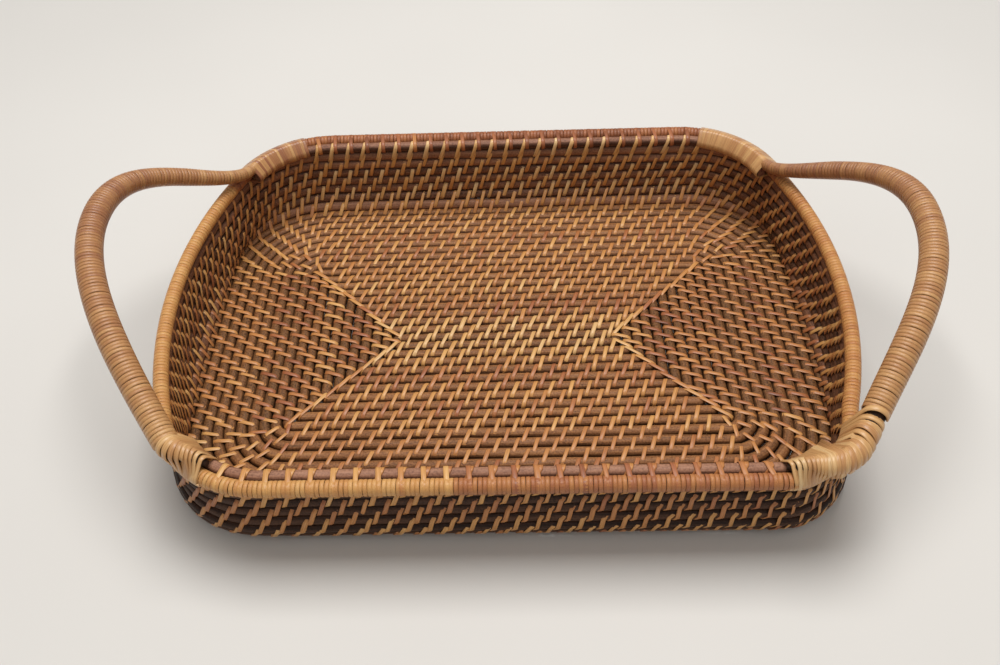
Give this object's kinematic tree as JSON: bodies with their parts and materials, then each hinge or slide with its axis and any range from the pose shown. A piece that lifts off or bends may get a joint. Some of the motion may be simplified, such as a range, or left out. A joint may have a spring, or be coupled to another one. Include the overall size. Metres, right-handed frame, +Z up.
{
  "type": "wicker serving tray",
  "caption": "Oblong coiled rattan serving tray with a flat mitred floor, low wall, wrapped rim and a raised wrapped cane handle at each end.",
  "frame": {"origin": "middle of the tray on the surface that it stands on", "axes": "+X along the tray towards one handle, +Y across it towards the back long side, +Z up"},
  "size_m": [0.5139, 0.326, 0.123],
  "materials": {
    "floor_cane": "satin rattan cane, grey brown, bound with golden peel stitches",
    "wall_cane": "satin rattan cane, dark brown, bound with tan peel stitches",
    "rim_peel": "split rattan peel wound close, straw with reddish stretches",
    "handle_cane": "bent rattan cane",
    "handle_peel": "split rattan peel wound close, pinkish tan with straw stripes, satin",
    "lashing_peel": "wide split rattan peel, straw and tan, satin",
    "binding_peel": "split rattan peel, golden brown, satin"
  },
  "bodies": {
    "root": {"floor_course_00": "floor_cane", "floor_course_01": "floor_cane", "floor_course_02": "floor_cane", "floor_course_03": "floor_cane", "floor_course_04": "floor_cane", "floor_course_05": "floor_cane", "floor_course_06": "floor_cane", "floor_course_07": "floor_cane", "floor_course_08": "floor_cane", "floor_course_09": "floor_cane", "floor_course_10": "floor_cane", "floor_course_11": "floor_cane", "floor_course_12": "floor_cane", "floor_course_13": "floor_cane", "floor_course_14": "floor_cane", "floor_course_15": "floor_cane", "floor_course_16": "floor_cane", "floor_course_17": "floor_cane", "floor_course_18": "floor_cane", "wall_course_1": "wall_cane", "wall_course_2": "wall_cane", "wall_course_3": "wall_cane", "wall_course_4": "wall_cane", "wall_course_5": "wall_cane", "wall_course_6": "wall_cane", "wall_course_7": "wall_cane", "wall_course_8": "wall_cane", "wall_course_8_back": "wall_cane", "rim_cane": "wall_cane", "rim_wrap": "rim_peel", "handle_cane_left": "handle_cane", "handle_wrap_left": "handle_peel", "handle_cane_right": "handle_cane", "handle_wrap_right": "handle_peel", "corner_lashing_front_left": "lashing_peel", "corner_lashing_front_right": "lashing_peel", "corner_lashing_back_left": "lashing_peel", "corner_lashing_back_right": "lashing_peel", "mitre_binding_front_left": "binding_peel", "mitre_binding_front_right": "binding_peel", "mitre_binding_back_left": "binding_peel", "mitre_binding_back_right": "binding_peel"}
  },
  "joints": []
}
